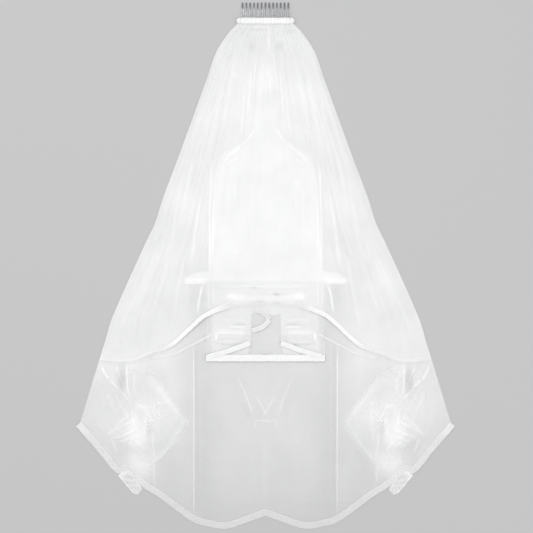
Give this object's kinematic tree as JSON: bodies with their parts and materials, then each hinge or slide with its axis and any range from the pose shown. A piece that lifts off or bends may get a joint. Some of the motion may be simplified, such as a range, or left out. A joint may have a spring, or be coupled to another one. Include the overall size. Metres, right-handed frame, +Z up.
{
  "type": "two-tier bridal veil on a wire hair comb, laid flat",
  "caption": "Sheer two-tier tulle bridal veil with satin ribbon edging, gathered on a wire hair comb and laid flat, with doubled side and middle folds.",
  "frame": {"origin": "middle of the underside of the whole veil as it lies", "axes": "+Y from the hem to the comb, +X to the right as seen from above, +Z up from the surface"},
  "size_m": [0.5946, 0.8364, 0.0114],
  "materials": {
    "tulle": "sheer white net, soft sheen",
    "satin": "white satin ribbon, soft gloss",
    "comb_wire": "bright silver-coloured wire"
  },
  "bodies": {
    "root": {"comb_teeth": "comb_wire", "comb_spine": "comb_wire", "comb_binding": "satin", "long_tier": "tulle", "long_tier_ribbon": "satin", "long_tier_side_fold_left": "tulle", "long_tier_side_fold_right": "tulle", "long_tier_turn_left": "satin", "long_tier_turn_right": "satin", "short_tier": "tulle", "short_tier_ribbon": "satin", "short_tier_under_ribbon_left": "satin", "short_tier_under_ribbon_right": "satin", "middle_fold_lower": "tulle", "middle_fold_upper": "tulle", "middle_ribbon_hem": "satin", "middle_ribbon_upper": "satin", "middle_ribbon_inner": "satin", "middle_ribbon_tab_left": "satin", "middle_ribbon_tab_right": "satin", "middle_ribbon_turn_left": "satin", "middle_ribbon_turn_right": "satin", "middle_ribbon_zigzag_upper": "satin", "middle_ribbon_zigzag_lower": "satin"}
  },
  "joints": []
}
